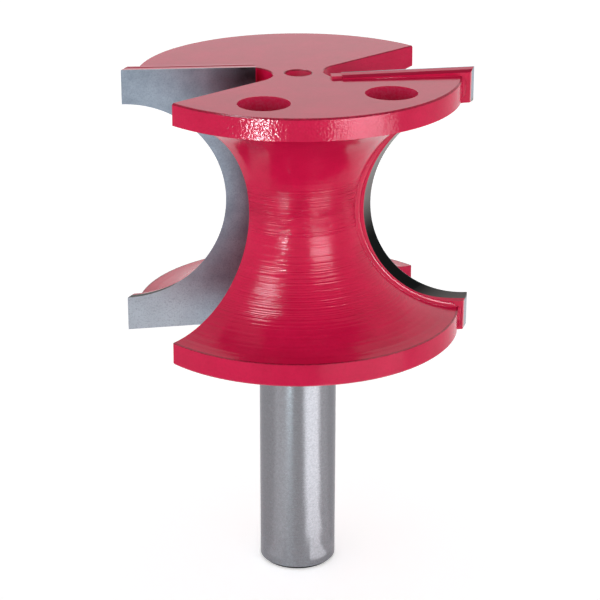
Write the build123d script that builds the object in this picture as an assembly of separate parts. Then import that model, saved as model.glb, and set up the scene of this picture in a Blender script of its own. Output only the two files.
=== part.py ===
from build123d import *
from math import asin, cos, hypot, radians, sin, sqrt, tan
import os

os.makedirs("parts", exist_ok=True)

# Router bit that rounds the edge of a board to a half circle. A spool-shaped steel head and its
# shank are one turned piece, with two gullets milled right through the head. Each gullet ends in
# a seat for a plate of tungsten carbide that is ground to the half circle and brazed in.
# Millimetres. Origin at the centre of the shank's end, Z up the axis towards the head,
# X along the cutting faces. The bit turns clockwise as seen from the shank's end.

# Shank
shank_diameter = 12.7
shank_length = 42.4
shank_chamfer = 0.5
neck_relief_diameter = 12.2
neck_relief_height = 1.6

# Cutting circle. The half circle on the board is what lies between it and the head's core.
cutting_diameter = 55.6

# Head, set back from the cutting circle
core_diameter = 20.2
top_rim_setback = 2.05
bottom_rim_setback = 1.6
top_rim_height = 3.5
bottom_rim_height = 3.7
flank_setback = 1.4
flank_spans = 8
rim_edge_chamfer = 0.25

# Carbide plate
plate_thickness = 2.9
plate_inner_radius = 6.35
plate_top_proud = 0.75
plate_bottom_proud = 0.55
top_dish = 0.25
bottom_dish = 0.4
end_relief = 1.2
flank_relief = 0.45
lip_relief = 0.2
hook_offset = 2.3
braze_gap = 0.2

# Gullet
gullet_angle = 36.2
gullet_lean = 0.6
gullet_wall_offset = 0.8
root_radius = 4.6
root_depth = 4.2
gullet_floor_drop = 1.0
gullet_edge_chamfer = 0.15

# Balance holes, in the sector of the head that faces the photograph
balance_hole_diameter = 8.1
balance_hole_depth = 3.0
balance_hole_circle = 36.8
balance_hole_middle = -80.6
balance_hole_spread = 66.6
drill_point_angle = 118

# Lathe centre holes
head_centre_diameter = 4.4
shank_centre_diameter = 3.2
centre_pilot_diameter = 1.6
centre_pilot_depth = 2.2
centre_cone_angle = 60

# Heights and radii that follow
shank_radius = shank_diameter / 2
neck_radius = neck_relief_diameter / 2
cutting_radius = cutting_diameter / 2
top_rim_radius = cutting_radius - top_rim_setback
bottom_rim_radius = cutting_radius - bottom_rim_setback
core_radius = core_diameter / 2
flank_radius = cutting_radius - core_radius
bead_radius = flank_radius - flank_setback
flank_top_height = sqrt(flank_radius**2 - top_rim_setback**2)
flank_bottom_height = sqrt(flank_radius**2 - bottom_rim_setback**2)
head_bottom = shank_length
bead_height = head_bottom + bottom_rim_height + flank_bottom_height
head_top = bead_height + flank_top_height + top_rim_height
head_middle = (head_bottom + head_top) / 2
milling_reach = cutting_radius + 10

# Plan of a gullet: its face, and the seat behind it
face_y = hook_offset
seat_y = hook_offset + plate_thickness + braze_gap
seat_end_x = -(plate_inner_radius - braze_gap)
plate_tip_x = -sqrt(cutting_radius**2 - face_y**2)
wall_direction = Vector(-cos(radians(gullet_angle)), -sin(radians(gullet_angle)))
wall_normal = Vector(-sin(radians(gullet_angle)), cos(radians(gullet_angle)))
root_x = -(root_depth + root_radius)
root_y = (gullet_wall_offset + root_radius - wall_normal.X * root_x) / wall_normal.Y
root_arc_end_x = seat_end_x - root_radius / 8
root_arc_end_y = root_y + sqrt(root_radius**2 - (root_arc_end_x - root_x) ** 2)

# The gullet's wall and root lean, so both stand nearer the cutter at the bottom of the head
lean_shift = wall_normal * (tan(radians(gullet_lean)) * (head_top - head_bottom) / 2)
root_end_y = root_y + lean_shift.Y + sqrt(root_radius**2 - (seat_end_x - root_x - lean_shift.X) ** 2)


def flank_points():
    """Points of the flank's arc in the turned profile, evenly spaced from the bottom rim to the top rim."""
    start = -asin(flank_bottom_height / flank_radius)
    end = asin(flank_top_height / flank_radius)
    angles = [start + (end - start) * step / flank_spans for step in range(flank_spans + 1)]
    return [(cutting_radius - flank_radius * cos(a), bead_height + flank_radius * sin(a)) for a in angles]


def head_and_shank():
    """The turned blank: shank, grinding relief under the head, two rims and the concave flank."""
    with BuildPart() as blank:
        with BuildSketch(Plane.XZ):
            with BuildLine():
                Polyline(
                    (0, 0),
                    (shank_radius - shank_chamfer, 0),
                    (shank_radius, shank_chamfer),
                    (shank_radius, head_bottom - neck_relief_height),
                    (neck_radius, head_bottom - neck_relief_height + shank_radius - neck_radius),
                    (neck_radius, head_bottom),
                    (bottom_rim_radius, head_bottom),
                    flank_points()[0],
                )
                Spline(*flank_points())
                Polyline(
                    flank_points()[-1],
                    (top_rim_radius, head_top),
                    (0, head_top),
                    (0, 0),
                )
            sketch = make_face()
            rims = [v for v in sketch.vertices() if v.X > min(top_rim_radius, bottom_rim_radius) - 1e-3]
            chamfer(rims, length=rim_edge_chamfer)
        revolve(axis=Axis.Z)
    return blank.part


def cleared(outline):
    """The space an end mill clears inside an outline, down to a floor just under the head."""
    floor = head_bottom - gullet_floor_drop
    return extrude(Pos(0, 0, floor) * outline, amount=head_top + gullet_floor_drop - floor)


def gullet_wedge():
    """Plan of the milled gullet on the -X side, from its wall round the root to the cutter's face."""
    tangent = Vector(root_x, root_y) - wall_normal * root_radius
    wall_end = wall_normal * gullet_wall_offset + wall_direction * milling_reach
    arc_end = Vector(root_arc_end_x, root_arc_end_y)
    with BuildSketch() as plan:
        with BuildLine():
            Line(wall_end, tangent)
            ThreePointArc(tangent, Vector(-root_depth, root_y), arc_end)
            Polyline(arc_end, (-milling_reach, root_arc_end_y), wall_end)
        make_face()
    return plan.sketch


def seat_pocket():
    """Plan of the cutter's seat, from inside the gullet to the wall behind the plate."""
    with BuildSketch() as plan:
        Polygon(
            (seat_end_x, root_y),
            (seat_end_x, seat_y),
            (-milling_reach, seat_y),
            (-milling_reach, root_y),
            align=None,
        )
    return plan.sketch


def gullet():
    """One gullet: the leaning wall and root, and the upright seat beside them."""
    lean_axis = Axis(Vector(0, 0, head_middle), wall_direction)
    return cleared(gullet_wedge()).rotate(lean_axis, -gullet_lean) + cleared(seat_pocket())


def drilled(mouth_diameter, depth, point_angle, pilot_diameter=0.0, pilot_depth=0.0, pilot_angle=drill_point_angle):
    """A blind hole's space below Z=0: straight sides, a conical point, and a pilot below that."""
    half = radians(point_angle / 2)
    mouth = mouth_diameter / 2
    pilot = pilot_diameter / 2
    cone_end = depth + (mouth - pilot) * cos(half) / sin(half)
    points = [(0, 0), (mouth, 0)]
    if depth > 0:
        points.append((mouth, -depth))
    if pilot > 0:
        tip = radians(pilot_angle / 2)
        points.append((pilot, -cone_end))
        points.append((pilot, -cone_end - pilot_depth))
        points.append((0, -cone_end - pilot_depth - pilot * cos(tip) / sin(tip)))
    else:
        points.append((0, -cone_end))
    with BuildPart() as hole:
        with BuildSketch(Plane.XZ):
            Polygon(*points, align=None)
        revolve(axis=Axis.Z)
    return hole.part


def gullet_wall_edges(body):
    """The outline of each gullet's flat wall, apart from the line where the wall runs into the root."""
    tangent = Vector(root_x, root_y) - wall_normal * root_radius
    past_root = (tangent.length + core_radius) / 2
    lean = radians(gullet_lean)
    edges = []
    for half_turn in (1, -1):
        level = wall_normal * half_turn
        leaning = level * cos(lean) + Vector(0, 0, sin(lean))
        on_wall = level * gullet_wall_offset + Vector(0, 0, head_middle)
        for face in body.faces().filter_by(GeomType.PLANE):
            near = abs((face.center() - on_wall).dot(leaning)) < 1e-3
            if near and abs(face.normal_at().dot(leaning)) > 0.9999:
                edges += [e for e in face.edges() if hypot(e.center().X, e.center().Y) > past_root]
    return edges


def bit_body():
    """The steel body with its gullets, balance holes and lathe centres."""
    body = head_and_shank()
    cut = gullet()
    for half_turn in (0, 180):
        body -= Rot(0, 0, half_turn) * cut
    body = chamfer(gullet_wall_edges(body), length=gullet_edge_chamfer)
    balance_hole = drilled(balance_hole_diameter, balance_hole_depth, drill_point_angle)
    for side in (-1, 1):
        azimuth = balance_hole_middle + side * balance_hole_spread / 2
        body -= Rot(0, 0, azimuth) * Pos(balance_hole_circle / 2, 0, head_top) * balance_hole
    head_centre = drilled(head_centre_diameter, 0, centre_cone_angle, centre_pilot_diameter, centre_pilot_depth)
    body -= Pos(0, 0, head_top) * head_centre
    shank_centre = drilled(shank_centre_diameter, 0, centre_cone_angle, centre_pilot_diameter, centre_pilot_depth)
    body -= Rot(180, 0, 0) * shank_centre
    return body


def plate_outline(y, tip_x, radius, lip):
    """Face of the carbide plate at one depth: a slab with the half circle ground into its outer end."""
    top = head_top + plate_top_proud - lip
    bottom = head_bottom - plate_bottom_proud + lip
    with BuildSketch(Plane.XZ.offset(-y)) as face:
        with BuildLine():
            Polyline(
                (tip_x, bead_height + radius),
                (tip_x, top),
                (-plate_inner_radius, top - top_dish),
                (-plate_inner_radius, bottom + bottom_dish),
                (tip_x, bottom),
                (tip_x, bead_height - radius),
            )
            ThreePointArc(
                (tip_x, bead_height - radius),
                (tip_x + radius, bead_height),
                (tip_x, bead_height + radius),
            )
        make_face()
    return face.sketch


def carbide_cutter():
    """The plate on the -X side. Every ground edge falls away behind the cutting face."""
    front = plate_outline(face_y, plate_tip_x, bead_radius, 0)
    back = plate_outline(
        face_y + plate_thickness,
        plate_tip_x + end_relief,
        bead_radius + flank_relief,
        lip_relief,
    )
    return loft([front.face(), back.face()], ruled=True)


def braze_layer():
    """The brazed joint on the -X side: the thin space between the plate and the walls of its seat."""
    top = head_top + 1
    bottom = head_bottom - 1
    back_y = face_y + plate_thickness
    end_y = max(face_y, root_end_y)
    with BuildPart() as joint:
        with BuildSketch(Plane.XY.offset(bottom)):
            Polygon(
                (seat_end_x, seat_y),
                (-milling_reach, seat_y),
                (-milling_reach, back_y),
                (-plate_inner_radius, back_y),
                (-plate_inner_radius, end_y),
                (seat_end_x, end_y),
                align=None,
            )
        extrude(amount=top - bottom)
    return joint.part & head_and_shank()


body = bit_body()
plate = carbide_cutter()
joint = braze_layer()

export_step(body, "parts/bit_body.step")
for number, half_turn in ((1, 0), (2, 180)):
    export_step(Rot(0, 0, half_turn) * plate, f"parts/carbide_cutter_{number}.step")
    export_step(Rot(0, 0, half_turn) * joint, f"parts/braze_layer_{number}.step")
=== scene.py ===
import math

import bpy
from mathutils import Matrix, Vector


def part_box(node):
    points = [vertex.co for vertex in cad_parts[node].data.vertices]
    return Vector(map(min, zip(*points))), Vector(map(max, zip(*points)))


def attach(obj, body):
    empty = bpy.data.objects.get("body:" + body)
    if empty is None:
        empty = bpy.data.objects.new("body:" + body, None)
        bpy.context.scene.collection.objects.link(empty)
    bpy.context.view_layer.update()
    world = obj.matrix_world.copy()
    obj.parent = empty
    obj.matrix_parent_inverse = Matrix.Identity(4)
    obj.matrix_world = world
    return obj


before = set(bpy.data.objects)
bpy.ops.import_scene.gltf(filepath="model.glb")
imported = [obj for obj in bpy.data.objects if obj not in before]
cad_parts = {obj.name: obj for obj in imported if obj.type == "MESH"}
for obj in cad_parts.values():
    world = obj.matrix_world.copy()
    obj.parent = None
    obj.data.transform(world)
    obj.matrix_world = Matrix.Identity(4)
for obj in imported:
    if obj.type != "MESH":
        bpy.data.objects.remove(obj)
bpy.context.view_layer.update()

# Sizes in metres, as in the part's source
MM = 0.001
HEAD_BOTTOM = 42.4 * MM
HEAD_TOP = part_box("bit_body")[1][2]
CUTTING_RADIUS = 27.8 * MM
CORE_RADIUS = 10.1 * MM
FLANK_RADIUS = CUTTING_RADIUS - CORE_RADIUS
TOP_RIM_RADIUS = 25.75 * MM
BOTTOM_RIM_RADIUS = 26.2 * MM
TOP_RIM_HEIGHT = 3.5 * MM
BOTTOM_RIM_HEIGHT = 3.7 * MM
BEAD_HEIGHT = HEAD_BOTTOM + BOTTOM_RIM_HEIGHT + math.sqrt(
    FLANK_RADIUS**2 - (CUTTING_RADIUS - BOTTOM_RIM_RADIUS) ** 2
)
CUTTER_FACE = 2.3 * MM
CUTTER_BACK = 5.2 * MM
CUTTER_INNER_RADIUS = 6.35 * MM
END_RELIEF_SLOPE = 1.2 / 2.9

# Places on the head in millimetres, for the materials
TOP = HEAD_TOP / MM
WAIST = BEAD_HEIGHT / MM
TOP_RIM = TOP_RIM_RADIUS / MM
BOTTOM_RIM = BOTTOM_RIM_RADIUS / MM
BOTTOM_RIM_TOP = (HEAD_BOTTOM + BOTTOM_RIM_HEIGHT) / MM
SHANK_TOP = HEAD_BOTTOM / MM - 0.05
SHANK_CHAMFER = 0.5
CENTRE_RADIUS = 2.2
BALANCE_HOLES = ((-7.45, -16.82), (12.48, -13.52))
BALANCE_HOLE_REACH = 4.2
BALANCE_HOLE_DEPTH = 6.0
FAINT_RIDGE_RADII = (14.5, 18.5)
TOP_PEBBLE_RADII = (12.0, 6.0)
PEBBLE_HEIGHTS = (50.0, 70.0)
PEBBLE_X = (-2.0, 5.0)

# Places on a cutter in millimetres: near its end face, inside its round edge, and behind its cutting face
END_FACE_REACH = 0.06
ROUND_EDGE_RADIUS = FLANK_RADIUS / MM - 0.75
ROUND_EDGE_START = 0.03
LAND_AT_WAIST = 2.72
LAND_AT_END = 1.95
LAND_LESS_ON_END_FACE = 0.75
# Painted shade on a cutter's top, for its steep back slope: a dark line, and a dull coat behind it
DARK_LINE_DEPTH = 1.8
DARK_LINE_REACH = 0.4
SLOPE_SHADE_DEPTH = 1.85

# Stretches of a cutter in millimetres over which a shade changes: heights, and distances along X
LOW_END_HEIGHTS = (58, 48)
LOW_END_X = (12, 20)
PIT_HEIGHTS = (60, 50)
# Where a cutter turns near black at its inner top corner
INNER_CORNER_HEIGHTS = (78.5, 83.5)
INNER_CORNER_X = (8.8, 14.5)
# Heights of the painted light and painted shade on a cutter's round edge
PAINTED_LIGHT_HEIGHTS = (66, 76)
PAINTED_SHADE_START_HEIGHTS = (46.3, 49.5)
PAINTED_SHADE_END_HEIGHTS = (58.5, 65)
LAND_X = (19, 25)

# The bead of braze along a cutter's back: it stops short of the rims' edges, and a corner sinks in the head
BRAZE_SIZE = 0.6 * MM
BRAZE_SIZE_ON_TOP = 0.15 * MM
BRAZE_CORNER_DEPTH = 0.15 * MM
BRAZE_CORNER_BACK = 0.05 * MM
BRAZE_START_RADIUS = 9.0 * MM
BRAZE_START_RADIUS_AT_LIP = 7.0 * MM
BRAZE_FLANK_STEPS = 48
BRAZE_SECTION_ANGLES = (0, 15, 30, 45, 60, 75, 90)
TOP_EDGE_GAP = 0.5 * MM
RIM_EDGE_GAP = 0.4 * MM

# The lump of braze at a cutter's inner end, in millimetres: ends along X, section along Y and above the head
LIP_ENDS = (4.7, 6.5)
LIP_SECTION = ((2.7, -0.1), (2.7, 0.46), (4.15, 0.36), (4.4, -0.1))

# Colours of the coating, in linear light
RED_DEEP = (0.56, 0.007, 0.056, 1)
RED_BRIGHT = (0.65, 0.009, 0.069, 1)
RED_GRAIN = (0.43, 0.006, 0.042, 1)
# Painted shade: a darker red on the rims' and gullets' edges and at the centre hole's mouth
RED_PAINTED_EDGE_SHADE = (0.20, 0.004, 0.02, 1)
# Painted light: a paler red inside the balance holes
RED_PAINTED_HOLE_LIGHT = (0.60, 0.045, 0.115, 1)
# Painted shade on the cutters' tops, for their steep back slope: the dark line, and the dull red behind it
RED_SLOPE_SHADE_LINE = (0.30, 0.003, 0.02, 1)
RED_SLOPE_SHADE = (0.45, 0.006, 0.045, 1)

# Colours of the shank
STEEL_DARK = (0.185, 0.185, 0.2, 1)
STEEL_PALE = (0.245, 0.245, 0.265, 1)
# Painted shade: the colour of the chamfer at the shank's end
STEEL_CHAMFER_SHADE = (0.03, 0.03, 0.033, 1)
STEEL_TINT = (0.75, 0.75, 0.77, 1)
# Painted shade: the tint that dims the chamfer's reflection
STEEL_CHAMFER_SHADE_TINT = (0.08, 0.08, 0.08, 1)

# Colours of the cutters
CARBIDE_DARK = (0.225, 0.275, 0.335, 1)
CARBIDE_PALE = (0.315, 0.38, 0.455, 1)
CARBIDE_SPECK = (0.13, 0.15, 0.19, 1)
CARBIDE_LOW_END = (0.42, 0.44, 0.48, 1)
CARBIDE_PIT = (0.15, 0.15, 0.16, 1)
# Near black, at a cutter's inner top corner
CARBIDE_INNER_CORNER_DARK = (0.034, 0.034, 0.042, 1)
CARBIDE_END_FACE = (0.27, 0.28, 0.285, 1)
CARBIDE_ROUND_EDGE = (0.23, 0.21, 0.205, 1)
# Painted light and painted shade on a cutter's round edge: paler high up, nearly black lower down, standing
# in for its reflections
CARBIDE_ROUND_EDGE_PAINTED_LIGHT = (0.40, 0.38, 0.37, 1)
CARBIDE_ROUND_EDGE_PAINTED_SHADE = (0.010, 0.012, 0.012, 1)
WHITE = (1, 1, 1, 1)
# Painted shade: the tint that dims reflections on a cutter's round edge
ROUND_EDGE_SHADE_TINT = (0.1, 0.1, 0.1, 1)

# Heights of the bumps in the surfaces
TURNED_BUMP = 0.36 * MM
PEBBLED_BUMP = 0.055 * MM
COATED_BRAZE_BUMP = 0.012 * MM
COATED_CARBIDE_BUMP = 0.02 * MM
GROUND_STEEL_BUMP = 0.006 * MM
GROUND_CARBIDE_BUMP = 0.01 * MM

# The coating reflects little, as fluorocarbon coatings do. The dull, rough coat on the cutters' tops reflects
# less still: painted shade for their steep back slope, which is not modelled
COATING_IOR = 1.22
SLOPE_SHADE_IOR = 1.05

# The photograph's camera
FOCAL_PIXELS = 2076.7
PICTURE_PIXELS = 600
SENSOR_WIDTH = 36.0
CAMERA_DISTANCE = 0.3402
CAMERA_ELEVATION = math.radians(21.3)
CAMERA_AZIMUTH = math.radians(-7.7)
CAMERA_ROLL = math.radians(0.086)
AIM_HEIGHT = 0.04649
AXIS_COLUMN = 297.92

# The room, brighter low down than overhead, and the table
ROOM_LEVEL_LOW = 2.55
ROOM_LEVEL_OVERHEAD = 0.35
TABLE_REACH = 1.5
TABLE_GLOW = 0.46
TABLE_DARK = (0.86, 0.86, 0.86, 1)
TABLE_PALE = (0.9, 0.9, 0.9, 1)

# The tint of the bright lamps, and the place in millimetres that the softboxes face
LAMP_TINT = (0.75, 0.96, 1.0)
LAMP_AIM = Vector((0, 0, 64))

# Fans of cards over the table: the cards' ends from the axis in millimetres, and how the fans spread and rise
CARD_STEPS = (7, 13, 24, 44, 80, 145, 210)
CARD_POINT = 4
CARD_SPREAD = 0.85
CARD_SLOPE = 1 / 6
CARD_BASE_LEVEL = 0.35
CARD_LEVEL_STEP = 0.25


def photo_camera():
    """The camera at the photograph's viewing angle, aimed at a point on the bit's axis."""
    data = bpy.data.cameras.new("photo_camera")
    data.sensor_width = SENSOR_WIDTH
    data.lens = FOCAL_PIXELS / PICTURE_PIXELS * data.sensor_width
    data.shift_x = (PICTURE_PIXELS / 2 - AXIS_COLUMN) / PICTURE_PIXELS
    camera = bpy.data.objects.new("photo_camera", data)
    bpy.context.scene.collection.objects.link(camera)
    level = CAMERA_DISTANCE * math.cos(CAMERA_ELEVATION)
    place = Vector((
        level * math.sin(CAMERA_AZIMUTH),
        -level * math.cos(CAMERA_AZIMUTH),
        AIM_HEIGHT + CAMERA_DISTANCE * math.sin(CAMERA_ELEVATION),
    ))
    aim = Vector((0, 0, AIM_HEIGHT)) - place
    turn = aim.to_track_quat("-Z", "Y").to_matrix().to_4x4()
    camera.matrix_world = Matrix.Translation(place) @ turn @ Matrix.Rotation(CAMERA_ROLL, 4, "Z")
    bpy.context.scene.camera = camera


class Nodes:
    """Adds shader nodes to one material or world and links them."""

    def __init__(self, owner):
        owner.use_nodes = True
        self.tree = owner.node_tree
        self.tree.nodes.clear()
        is_world = isinstance(owner, bpy.types.World)
        self.output = "ShaderNodeOutputWorld" if is_world else "ShaderNodeOutputMaterial"

    def add(self, kind, **settings):
        node = self.tree.nodes.new(kind)
        for name, value in settings.items():
            setattr(node, name, value)
        return node

    def put(self, socket, value):
        if isinstance(value, bpy.types.NodeSocket):
            self.tree.links.new(value, socket)
        else:
            socket.default_value = value

    def math(self, operation, *values):
        node = self.add("ShaderNodeMath", operation=operation)
        for socket, value in zip(node.inputs, values):
            self.put(socket, value)
        return node.outputs[0]

    def product(self, first, *others):
        for other in others:
            first = self.math("MULTIPLY", first, other)
        return first

    def largest(self, first, *others):
        for other in others:
            first = self.math("MAXIMUM", first, other)
        return first

    def over(self, value, limit):
        """1 where the value is over the limit, 0 elsewhere."""
        return self.math("GREATER_THAN", value, limit)

    def under(self, value, limit):
        """1 where the value is under the limit, 0 elsewhere."""
        return self.math("LESS_THAN", value, limit)

    def near(self, value, middle, reach):
        """1 where the value is less than the reach away from the middle, 0 elsewhere."""
        return self.under(self.math("ABSOLUTE", self.math("SUBTRACT", value, middle)), reach)

    def parts(self, vector):
        """X, Y and Z of a vector."""
        node = self.add("ShaderNodeSeparateXYZ")
        self.put(node.inputs[0], vector)
        return tuple(node.outputs)

    def millimetres(self):
        """The place on the object, in millimetres, as a vector and as X, Y and Z."""
        place = self.add("ShaderNodeTexCoord").outputs["Object"]
        vector = self.scaled(place, (1000, 1000, 1000))
        return vector, *self.parts(vector)

    def facing_up(self, normal="True Normal"):
        """How far the surface faces upwards: 1 for a top, 0 for an upright wall, -1 for an underside."""
        return self.parts(self.add("ShaderNodeNewGeometry").outputs[normal])[2]

    def scaled(self, vector, scale):
        node = self.add("ShaderNodeVectorMath", operation="MULTIPLY")
        self.put(node.inputs[0], vector)
        node.inputs[1].default_value = scale
        return node.outputs[0]

    def vector(self, x, y, z):
        node = self.add("ShaderNodeCombineXYZ")
        for socket, value in zip(node.inputs, (x, y, z)):
            self.put(socket, value)
        return node.outputs[0]

    def axis_distance(self, x, y):
        return self.math("SQRT", self.math("ADD", self.product(x, x), self.product(y, y)))

    def noise(self, vector, scale, detail=2.0, roughness=0.5):
        node = self.add("ShaderNodeTexNoise")
        self.put(node.inputs["Vector"], vector)
        node.inputs["Scale"].default_value = scale
        node.inputs["Detail"].default_value = detail
        node.inputs["Roughness"].default_value = roughness
        return node.outputs["Fac"]

    def band(self, value, low, high, to_low=0.0, to_high=1.0):
        """Value's run from low to high, moved to to_low and to_high and held at both ends."""
        node = self.add("ShaderNodeMapRange", clamp=True)
        self.put(node.inputs["Value"], value)
        node.inputs["From Min"].default_value = low
        node.inputs["From Max"].default_value = high
        node.inputs["To Min"].default_value = to_low
        node.inputs["To Max"].default_value = to_high
        return node.outputs["Result"]

    def blend(self, factor, first, second):
        """First colour where factor is 0, second where it is 1."""
        node = self.add("ShaderNodeMix", data_type="RGBA")
        self.put(node.inputs[0], factor)
        self.put(node.inputs[6], first)
        self.put(node.inputs[7], second)
        return node.outputs[2]

    def bump(self, height, distance, strength=1.0, normal=None):
        node = self.add("ShaderNodeBump")
        self.put(node.inputs["Height"], height)
        node.inputs["Distance"].default_value = distance
        node.inputs["Strength"].default_value = strength
        if normal is not None:
            self.put(node.inputs["Normal"], normal)
        return node.outputs[0]

    def principled(self, colour, roughness, metallic=0.0, normal=None, tint=None, **settings):
        node = self.add("ShaderNodeBsdfPrincipled")
        self.put(node.inputs["Base Color"], colour)
        self.put(node.inputs["Roughness"], roughness)
        self.put(node.inputs["Metallic"], metallic)
        if normal is not None:
            self.put(node.inputs["Normal"], normal)
        if tint is not None:
            self.put(node.inputs["Specular Tint"], tint)
        for name, value in settings.items():
            node.inputs["IOR" if name == "ior" else name.replace("_", " ").title()].default_value = value
        return node.outputs[0]

    def background(self, colour):
        node = self.add("ShaderNodeBackground")
        self.put(node.inputs[0], colour)
        node.inputs[1].default_value = 1.0
        return node.outputs[0]

    def mixed(self, factor, first, second):
        """First shader where factor is 0, second where it is 1."""
        node = self.add("ShaderNodeMixShader")
        for socket, value in zip(node.inputs, (factor, first, second)):
            self.put(socket, value)
        return node.outputs[0]

    def finish(self, shader):
        self.put(self.add(self.output).inputs[0], shader)


def coat_colour(nodes, vector):
    """Colour and roughness of the red non-stick coating, and the grain in it."""
    cloud = nodes.noise(vector, 0.16, 3.0, 0.55)
    grain = nodes.noise(vector, 2.6, 3.0, 0.6)
    colour = nodes.blend(nodes.band(cloud, 0.3, 0.7), RED_DEEP, RED_BRIGHT)
    colour = nodes.blend(nodes.band(grain, 0.45, 0.8, 0.0, 0.35), colour, RED_GRAIN)
    roughness = nodes.band(nodes.math("ADD", cloud, grain), 0.7, 1.3, 0.12, 0.20)
    return colour, roughness, grain


def painted_edge_shade(nodes, radius, z, facing_up, grain):
    """Painted shade along the rims' edges, the gullets' edges and the centre hole's mouth: how far it darkens
    the coating there, varied by the grain.
    """
    edges = 0.0
    for height, reach, rim in ((TOP, 0.26, TOP_RIM), (BOTTOM_RIM_TOP, 0.12, BOTTOM_RIM)):
        on_edge = nodes.product(nodes.near(z, height, reach), nodes.over(radius, rim - 0.3))
        edges = nodes.math("ADD", edges, on_edge)
    by_top = nodes.over(z, TOP - 0.4)
    sloping = nodes.product(nodes.band(facing_up, 0.3, 0.4), nodes.band(facing_up, 0.9, 0.95, 1.0, 0.0))
    gullet_edges = nodes.product(sloping, by_top, nodes.band(radius, 3.0, 3.5))
    mouth = nodes.product(nodes.near(radius, CENTRE_RADIUS, 0.16), by_top)
    edges = nodes.largest(edges, gullet_edges, mouth)
    return nodes.product(edges, nodes.band(grain, 0.35, 0.6, 0.35, 0.8))


def painted_light_in_holes(nodes, colour, x, y, z, facing_up, grain):
    """The colour with painted light inside the balance holes: paler and speckled there."""
    bottom = TOP - BALANCE_HOLE_DEPTH
    for hole_x, hole_y in BALANCE_HOLES:
        aside = nodes.axis_distance(nodes.math("SUBTRACT", x, hole_x), nodes.math("SUBTRACT", y, hole_y))
        inside = nodes.product(nodes.under(aside, BALANCE_HOLE_REACH), nodes.band(z, bottom, bottom + 0.4))
        inside = nodes.product(inside, nodes.under(z, TOP - 0.1), nodes.over(facing_up, -0.2))
        speckled = nodes.product(inside, nodes.band(grain, 0.4, 0.62, 0.25, 1.0))
        colour = nodes.blend(speckled, colour, RED_PAINTED_HOLE_LIGHT)
    return colour


def centred(nodes, noise, amount):
    """Noise about zero, scaled by an amount that varies over the surface."""
    return nodes.product(nodes.math("SUBTRACT", noise, 0.5), amount)


def turned_marks(nodes, x, y, z, radius, on_flank):
    """Bumps of the ridges that turning left round the flank, strongest at its waist."""
    turned = nodes.noise(nodes.vector(0.37, 0.61, z), 4.6, 1.0, 0.6)
    patches = nodes.noise(nodes.vector(x, y, nodes.product(z, 0.8)), 0.4, 2.0)
    above = nodes.band(z, WAIST + 4.0, WAIST + 6.5, 1.0, 0.05)
    waist = nodes.band(z, WAIST - 3.2, WAIST - 1.8, 0.25, 1.0)
    below = nodes.band(z, WAIST - 6.5, WAIST - 5.5, 0.22, 0.0)
    below = nodes.product(below, nodes.band(radius, *FAINT_RIDGE_RADII, 1.0, 0.25))
    strength = nodes.product(on_flank, nodes.band(patches, 0.35, 0.6, 0.45, 1.0))
    strength = nodes.product(strength, nodes.math("ADD", nodes.product(waist, above), below))
    return nodes.bump(centred(nodes, turned, strength), TURNED_BUMP)


def pebbled(nodes, vector, x, z, radius, on_flank, normal):
    """Bumps of the coating: plain on the rims, faint on the flank and the top, none in the centre hole."""
    on_top = nodes.band(z, TOP - 0.5, TOP - 0.1)
    strength = nodes.product(on_top, nodes.band(radius, *TOP_PEBBLE_RADII, 0.12, 0.4))
    strength = nodes.math("ADD", nodes.math("SUBTRACT", 1.0, on_top), strength)
    strength = nodes.product(
        strength,
        nodes.band(radius, CENTRE_RADIUS + 0.4, CENTRE_RADIUS + 1.2),
        nodes.band(on_flank, 0.0, 1.0, 1.0, 0.15),
        nodes.band(x, *PEBBLE_X, 1.0, 0.4),
        nodes.band(z, *PEBBLE_HEIGHTS, 0.3, 1.0),
    )
    peel = nodes.noise(vector, 2.6, 0.0, 0.5)
    return nodes.bump(centred(nodes, peel, strength), PEBBLED_BUMP, normal=normal)


def coat(nodes, vector, x, y, z):
    """The coating on the head: colour, roughness and normal."""
    colour, roughness, grain = coat_colour(nodes, vector)
    radius = nodes.axis_distance(x, y)
    facing_up = nodes.facing_up()
    # Painted shade darkens the coating along the edges and at the centre hole's mouth
    colour = nodes.blend(painted_edge_shade(nodes, radius, z, facing_up, grain), colour, RED_PAINTED_EDGE_SHADE)
    # Painted light makes the coating paler inside the balance holes
    colour = painted_light_in_holes(nodes, colour, x, y, z, facing_up, grain)
    dull_in_centre = nodes.band(radius, CENTRE_RADIUS - 0.1, CENTRE_RADIUS, 0.7, 0.0)
    roughness = nodes.largest(roughness, dull_in_centre)
    on_flank = nodes.band(radius, TOP_RIM - 1.0, TOP_RIM - 0.4, 1.0, 0.0)
    normal = turned_marks(nodes, x, y, z, radius, on_flank)
    normal = pebbled(nodes, vector, x, z, radius, on_flank, normal)
    return colour, roughness, normal


def red_coat():
    """The coating alone, smooth, for the brazed joints and the beads along them."""
    material = bpy.data.materials.new("red_coat")
    nodes = Nodes(material)
    colour, roughness, grain = coat_colour(nodes, nodes.millimetres()[0])
    normal = nodes.bump(grain, COATED_BRAZE_BUMP, 0.5)
    gloss = {"ior": COATING_IOR, "coat_weight": 0.2, "coat_roughness": 0.06}
    nodes.finish(nodes.principled(colour, roughness, 0.0, normal, **gloss))
    return material


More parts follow.
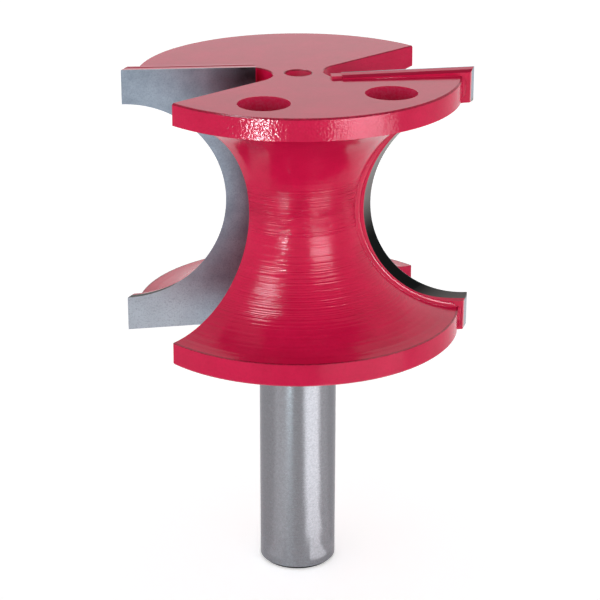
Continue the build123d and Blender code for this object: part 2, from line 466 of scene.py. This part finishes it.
def ground_steel(nodes, vector, x, y, z):
    """Bare steel with fine grinding lines round the shank, and painted shade that makes the chamfer at its
    end nearly black, in colour and in reflection.
    """
    around = nodes.product(nodes.math("ARCTAN2", y, x), 1.5)
    lines = nodes.noise(nodes.vector(around, 0.0, nodes.product(z, 9.0)), 1.0, 4.0, 0.7)
    fine = nodes.noise(vector, 3.0, 4.0, 0.7)
    colour = nodes.blend(nodes.band(fine, 0.3, 0.7), STEEL_DARK, STEEL_PALE)
    off_end_face = nodes.over(nodes.facing_up(), -0.9)
    chamfer = nodes.product(nodes.under(z, SHANK_CHAMFER), off_end_face)
    # Painted shade: the chamfer is made nearly black
    colour = nodes.blend(chamfer, colour, STEEL_CHAMFER_SHADE)
    roughness = nodes.band(lines, 0.3, 0.7, 0.20, 0.30)
    normal = nodes.bump(lines, GROUND_STEEL_BUMP, 0.5)
    # Painted shade also dims the chamfer's reflection
    tint = nodes.blend(chamfer, STEEL_TINT, STEEL_CHAMFER_SHADE_TINT)
    brushed = {"anisotropic": 0.8, "anisotropic_rotation": 0.25}
    return nodes.principled(colour, roughness, 1.0, normal, tint, **brushed)


def coated_steel():
    """The body: red coating on the head, bare ground steel on the shank."""
    material = bpy.data.materials.new("coated_steel")
    nodes = Nodes(material)
    vector, x, y, z = nodes.millimetres()
    colour, roughness, normal = coat(nodes, vector, x, y, z)
    painted = nodes.principled(colour, roughness, 0.0, normal, ior=COATING_IOR)
    steel = ground_steel(nodes, vector, x, y, z)
    nodes.finish(nodes.mixed(nodes.under(z, SHANK_TOP), painted, steel))
    return material


def ground_carbide(nodes, vector, z, depth, out, across):
    """Tungsten carbide: clouded and pitted, near black at its inner top corner, with painted light and shade
    on its round edge.
    """
    cloud = nodes.noise(vector, 0.35, 4.0, 0.6)
    speck = nodes.noise(vector, 4.0, 3.0, 0.7)
    scratch = nodes.noise(nodes.scaled(vector, (0.6, 1.0, 9.0)), 1.0, 3.0, 0.6)
    colour = nodes.blend(nodes.band(cloud, 0.3, 0.7), CARBIDE_DARK, CARBIDE_PALE)
    colour = nodes.blend(nodes.band(speck, 0.45, 0.8, 0.0, 0.5), colour, CARBIDE_SPECK)
    low_end = nodes.product(nodes.band(z, *LOW_END_HEIGHTS), nodes.band(out, *LOW_END_X), 0.6)
    colour = nodes.blend(low_end, colour, CARBIDE_LOW_END)
    pits = nodes.band(nodes.noise(vector, 3.4, 3.0, 0.7), 0.5, 0.7)
    pits = nodes.product(pits, nodes.band(z, *PIT_HEIGHTS, 0.15, 0.45))
    colour = nodes.blend(pits, colour, CARBIDE_PIT)
    # Near black at the inner top corner
    inner_corner_dark = nodes.product(nodes.band(out, *INNER_CORNER_X, 1.0, 0.0), nodes.band(z, *INNER_CORNER_HEIGHTS))
    inner_corner_dark = nodes.product(inner_corner_dark, nodes.band(cloud, 0.3, 0.6, 0.7, 1.0))
    colour = nodes.blend(inner_corner_dark, colour, CARBIDE_INNER_CORNER_DARK)
    colour = nodes.blend(nodes.over(across, -END_FACE_REACH), colour, CARBIDE_END_FACE)

    upward = nodes.math("SUBTRACT", z, WAIST)
    round_edge = nodes.under(nodes.axis_distance(across, upward), ROUND_EDGE_RADIUS)
    round_edge = nodes.product(round_edge, nodes.over(depth, ROUND_EDGE_START))
    colour = nodes.blend(round_edge, colour, CARBIDE_ROUND_EDGE)
    # Painted light on the round edge high up, and painted shade lower down, standing in for its reflections
    round_edge_light = nodes.product(nodes.band(z, *PAINTED_LIGHT_HEIGHTS), round_edge)
    colour = nodes.blend(round_edge_light, colour, CARBIDE_ROUND_EDGE_PAINTED_LIGHT)
    round_edge_shade = nodes.product(nodes.band(z, *PAINTED_SHADE_START_HEIGHTS, 0.4, 1.0), round_edge)
    round_edge_shade = nodes.product(round_edge_shade, nodes.band(z, *PAINTED_SHADE_END_HEIGHTS, 1.0, 0.3))
    colour = nodes.blend(round_edge_shade, colour, CARBIDE_ROUND_EDGE_PAINTED_SHADE)
    roughness = nodes.band(speck, 0.3, 0.7, 0.34, 0.48)
    normal = nodes.bump(nodes.math("ADD", speck, scratch), GROUND_CARBIDE_BUMP, 0.4)
    # The painted shade also dims the round edge's reflection
    return nodes.principled(colour, roughness, 0.9, normal, nodes.blend(round_edge_shade, WHITE, ROUND_EDGE_SHADE_TINT))


def carbide():
    """Ground tungsten carbide, with the coating left on it behind the ground lands and on its top."""
    material = bpy.data.materials.new("carbide")
    nodes = Nodes(material)
    vector, x, y, z = nodes.millimetres()
    depth = nodes.math("SUBTRACT", nodes.math("ABSOLUTE", y), CUTTER_FACE / MM)
    out = nodes.math("ABSOLUTE", x)
    across = nodes.math("SUBTRACT", out, CUTTING_RADIUS / MM)
    across = nodes.math("ADD", across, nodes.product(depth, END_RELIEF_SLOPE))
    ground = ground_carbide(nodes, vector, z, depth, out, across)

    colour, roughness, grain = coat_colour(nodes, vector)
    # Painted shade on the top: a dark line where the steep back slope starts
    line = nodes.product(nodes.near(depth, DARK_LINE_DEPTH, DARK_LINE_REACH), nodes.over(z, TOP + 0.3))
    colour = nodes.blend(nodes.product(line, 0.8), colour, RED_SLOPE_SHADE_LINE)
    normal = nodes.bump(grain, COATED_CARBIDE_BUMP, 0.5)
    painted = nodes.principled(colour, roughness, 0.0, normal, ior=COATING_IOR)
    land = nodes.band(out, *LAND_X, LAND_AT_WAIST, LAND_AT_END)
    less = nodes.product(nodes.over(across, -END_FACE_REACH), LAND_LESS_ON_END_FACE)
    land = nodes.math("SUBTRACT", land, less)
    behind_land = nodes.over(depth, land)
    level = nodes.over(nodes.math("ABSOLUTE", nodes.facing_up("Normal")), 0.9)
    on_top = nodes.product(nodes.over(z, TOP + 0.1), level, nodes.over(depth, 0.2))
    at_root = nodes.under(out, CUTTER_INNER_RADIUS / MM + 0.1)
    shader = nodes.mixed(nodes.largest(behind_land, at_root, on_top), ground, painted)

    # Painted shade: a dull, darker coat on the line, and behind it on the right-hand cutter's top
    behind_line = nodes.product(nodes.over(depth, SLOPE_SHADE_DEPTH), nodes.over(x, 0.0))
    slope_shade = nodes.product(on_top, nodes.largest(behind_line, line))
    slope_shade_coat = nodes.principled(RED_SLOPE_SHADE, 0.7, ior=SLOPE_SHADE_IOR)
    nodes.finish(nodes.mixed(slope_shade, shader, slope_shade_coat))
    return material


def braze_stations(start_radius):
    """The head's outline beside a cutter, from a radius on its top down to the bottom rim.

    Each station is a radius, a height, and how far the head's surface faces out and up there.
    """
    stations = [
        (start_radius, HEAD_TOP, 0.0, 1.0),
        (TOP_RIM_RADIUS - TOP_EDGE_GAP, HEAD_TOP, 0.0, 1.0),
        (TOP_RIM_RADIUS, HEAD_TOP - TOP_EDGE_GAP, 1.0, 0.0),
        (TOP_RIM_RADIUS, HEAD_TOP - TOP_RIM_HEIGHT + RIM_EDGE_GAP, 1.0, 0.0),
    ]
    start = math.asin((HEAD_TOP - TOP_RIM_HEIGHT - BEAD_HEIGHT) / FLANK_RADIUS)
    end = -math.asin((BEAD_HEIGHT - HEAD_BOTTOM - BOTTOM_RIM_HEIGHT) / FLANK_RADIUS)
    for step in range(1, BRAZE_FLANK_STEPS):
        angle = start + (end - start) * step / BRAZE_FLANK_STEPS
        radius = CUTTING_RADIUS - FLANK_RADIUS * math.cos(angle)
        height = BEAD_HEIGHT + FLANK_RADIUS * math.sin(angle)
        stations.append((radius, height, math.cos(angle), -math.sin(angle)))
    stations.append((BOTTOM_RIM_RADIUS, HEAD_BOTTOM + BOTTOM_RIM_HEIGHT - RIM_EDGE_GAP, 1.0, 0.0))
    stations.append((BOTTOM_RIM_RADIUS, HEAD_BOTTOM + RIM_EDGE_GAP, 1.0, 0.0))
    return stations


def braze_section(side, radius, height, out, up):
    """The corners of the bead at one station: a concave quarter circle, and one corner sunk in the head."""
    on_top = up == 1.0
    size = BRAZE_SIZE_ON_TOP if on_top else BRAZE_SIZE
    corners = []
    for angle in map(math.radians, BRAZE_SECTION_ANGLES):
        back = CUTTER_BACK + (1 - math.cos(angle)) * size
        rise = (1 - math.sin(angle)) * size
        x = math.sqrt(radius**2 - back**2) + out * rise
        corners.append((-side * x, side * back, height + up * rise))
    x = math.sqrt(radius**2 - CUTTER_BACK**2) - out * BRAZE_CORNER_DEPTH
    y = CUTTER_BACK + BRAZE_CORNER_BACK
    corners.append((-side * x, side * y, height - up * BRAZE_CORNER_DEPTH))
    return corners


def joined_sections(rows, count, first=0):
    """Faces between rows of corners that go round, and the two faces that close the ends."""
    faces = []
    for row in range(rows - 1):
        low = first + row * count
        for column in range(count):
            following = (column + 1) % count
            faces.append((low + column, low + following, low + count + following, low + count + column))
    last = first + (rows - 1) * count
    faces.append(tuple(range(first + count - 1, first - 1, -1)))
    faces.append(tuple(range(last, last + count)))
    return faces


def lip_corners(side):
    """The two end sections of the lump of braze that carries the cutter's top on past its inner end."""
    return [
        (-side * x * MM, side * y * MM, HEAD_TOP + height * MM) for x in LIP_ENDS for y, height in LIP_SECTION
    ]


def braze_bead(name, side, has_lip):
    """The small concave bead of braze, coated over, between a cutter's back and the head."""
    start_radius = BRAZE_START_RADIUS_AT_LIP if has_lip else BRAZE_START_RADIUS
    sections = [braze_section(side, *station) for station in braze_stations(start_radius)]
    corners = [corner for section in sections for corner in section]
    faces = joined_sections(len(sections), len(sections[0]))
    smooth = len(faces)
    if has_lip:
        faces += joined_sections(len(LIP_ENDS), len(LIP_SECTION), len(corners))
        corners += lip_corners(side)
    mesh = bpy.data.meshes.new(name)
    mesh.from_pydata(corners, [], faces)
    for polygon in mesh.polygons[:smooth]:
        polygon.use_smooth = True
    mesh.update()
    bead = bpy.data.objects.new(name, mesh)
    bpy.context.scene.collection.objects.link(bead)
    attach(bead, "root")
    return bead


def lamp(name, width, height, radiance, place, aim):
    """A rectangular lamp in millimetres, at a place and facing an aim, which shows only in reflections."""
    data = bpy.data.lights.new(name, "AREA")
    data.shape = "RECTANGLE"
    data.size = width * MM
    data.size_y = height * MM
    data.energy = radiance * math.pi * data.size * data.size_y
    item = bpy.data.objects.new(name, data)
    bpy.context.scene.collection.objects.link(item)
    item.visible_camera = False
    item.visible_diffuse = False
    turn = (aim - place).to_track_quat("-Z", "Y").to_matrix().to_4x4()
    item.matrix_world = Matrix.Translation(place * MM) @ turn
    return item


def around_axis(azimuth, distance, height):
    """A place in millimetres. Azimuth 0 is towards -Y, positive towards +X."""
    angle = math.radians(azimuth)
    return Vector((distance * math.sin(angle), -distance * math.cos(angle), height))


def softbox(name, azimuth, elevation, distance, width, height, radiance):
    """A lamp that faces the middle of the head."""
    rise = math.radians(elevation)
    place = around_axis(azimuth, distance * math.cos(rise), LAMP_AIM.z + distance * math.sin(rise))
    return lamp(name, width, height, radiance, place, LAMP_AIM)


def reflector(name, azimuth, width, start, end, radiance):
    """A bright card that runs outwards and up, from start to end. Both are a distance and a height."""
    low = around_axis(azimuth, *start)
    high = around_axis(azimuth, *end)
    middle = (low + high) / 2
    facing = (high - low).cross(around_axis(azimuth + 90, 1, 0)).normalized()
    if facing.z < 0:
        facing = -facing
    return lamp(name, width, (high - low).length, radiance, middle, middle + facing)


def coating_lamps():
    """The lamps that make the streaks on the coated head: a softbox, and cards close by.

    A card's numbers are its azimuth, width, start, end and radiance.
    """
    return (
        reflector("right_card_low", 28, 45, (78, 47), (80, 62), 23.5),
        reflector("right_card_middle", 37, 45, (80, 62), (80.5, 67), 12.0),
        reflector("right_card_high", 28, 45, (80.5, 67), (82, 85), 23.5),
        softbox("left_box", -60, 48, 500, 205, 300, 28.0),
        reflector("left_card_low", -32, 26, (100, 42), (103, 48), 70.0),
        reflector("left_card_middle", -29, 9, (105, 50), (107, 57), 330.0),
        reflector("left_card_high", -32, 26, (110, 58), (115, 64), 70.0),
    )


def table_cards():
    """Fans of cards low over the table, which widen and brighten outwards and show as lines up the shank."""
    for azimuth, radiance in ((34, 2.1), (-54, 0.35), (66, 0.3)):
        for step, (start, end) in enumerate(zip(CARD_STEPS, CARD_STEPS[1:]), 1):
            width = ((start + end) / 2 - CARD_POINT) * CARD_SPREAD
            level = radiance * min(1.0, CARD_BASE_LEVEL + CARD_LEVEL_STEP * step)
            low = (start, start * CARD_SLOPE)
            high = (end, end * CARD_SLOPE)
            reflector(f"card_{azimuth}_{step}", azimuth, width, low, high, level)


def shows_background(nodes):
    """1 for rays from the camera, for glossy reflections and for rays that glass lets through."""
    path = nodes.add("ShaderNodeLightPath").outputs
    return nodes.largest(path["Is Camera Ray"], path["Is Glossy Ray"], path["Is Transmission Ray"])


def studio_world():
    """Plain white to the camera and in reflections. The light it gives is dimmer overhead."""
    world = bpy.data.worlds.new("studio")
    bpy.context.scene.world = world
    nodes = Nodes(world)
    height = nodes.parts(nodes.add("ShaderNodeTexCoord").outputs["Generated"])[2]
    level = nodes.band(height, 0.05, 0.6, ROOM_LEVEL_LOW, ROOM_LEVEL_OVERHEAD)
    room = nodes.background(nodes.vector(level, level, level))
    nodes.finish(nodes.mixed(shows_background(nodes), room, nodes.background(WHITE)))


def pale_floor():
    """The table: nearly white, with the bit's soft shadow on it."""
    mesh = bpy.data.meshes.new("table")
    corners = [(x * TABLE_REACH, y * TABLE_REACH, 0) for x, y in ((-1, -1), (1, -1), (1, 1), (-1, 1))]
    mesh.from_pydata(corners, [], [(0, 1, 2, 3)])
    table = bpy.data.objects.new("table", mesh)
    bpy.context.scene.collection.objects.link(table)
    material = bpy.data.materials.new("table")
    nodes = Nodes(material)
    speck = nodes.noise(nodes.add("ShaderNodeTexCoord").outputs["Object"], 60.0, 3.0)
    lit = nodes.principled(nodes.blend(speck, TABLE_DARK, TABLE_PALE), 0.7)
    glow = nodes.add("ShaderNodeEmission")
    glow.inputs[0].default_value = WHITE
    nodes.put(glow.inputs[1], nodes.product(shows_background(nodes), TABLE_GLOW))
    total = nodes.add("ShaderNodeAddShader")
    nodes.put(total.inputs[0], lit)
    nodes.put(total.inputs[1], glow.outputs[0])
    nodes.finish(total.outputs[0])
    mesh.materials.append(material)


photo_camera()
studio_world()
pale_floor()

# The bright lamps show on the body and the braze alone, because the bare cutters would glare
shown_on_coating = bpy.data.collections.new("shown_on_coating")
for box in coating_lamps():
    box.light_linking.receiver_collection = shown_on_coating
    box.data.color = LAMP_TINT
softbox("back_box", 172, 22, 700, 900, 500, 0.3)
table_cards()

steel = coated_steel()
coating = red_coat()
plate = carbide()
for name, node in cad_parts.items():
    node.data.materials.clear()
    if name.startswith("carbide"):
        node.data.materials.append(plate)
        continue
    node.data.materials.append(coating if name.startswith("braze") else steel)
    shown_on_coating.objects.link(node)

for number, side in ((1, 1), (2, -1)):
    bead = braze_bead(f"braze_bead_{number}", side, has_lip=side < 0)
    bead.data.materials.append(coating)
    shown_on_coating.objects.link(bead)

bpy.context.scene.view_settings.view_transform = "Standard"
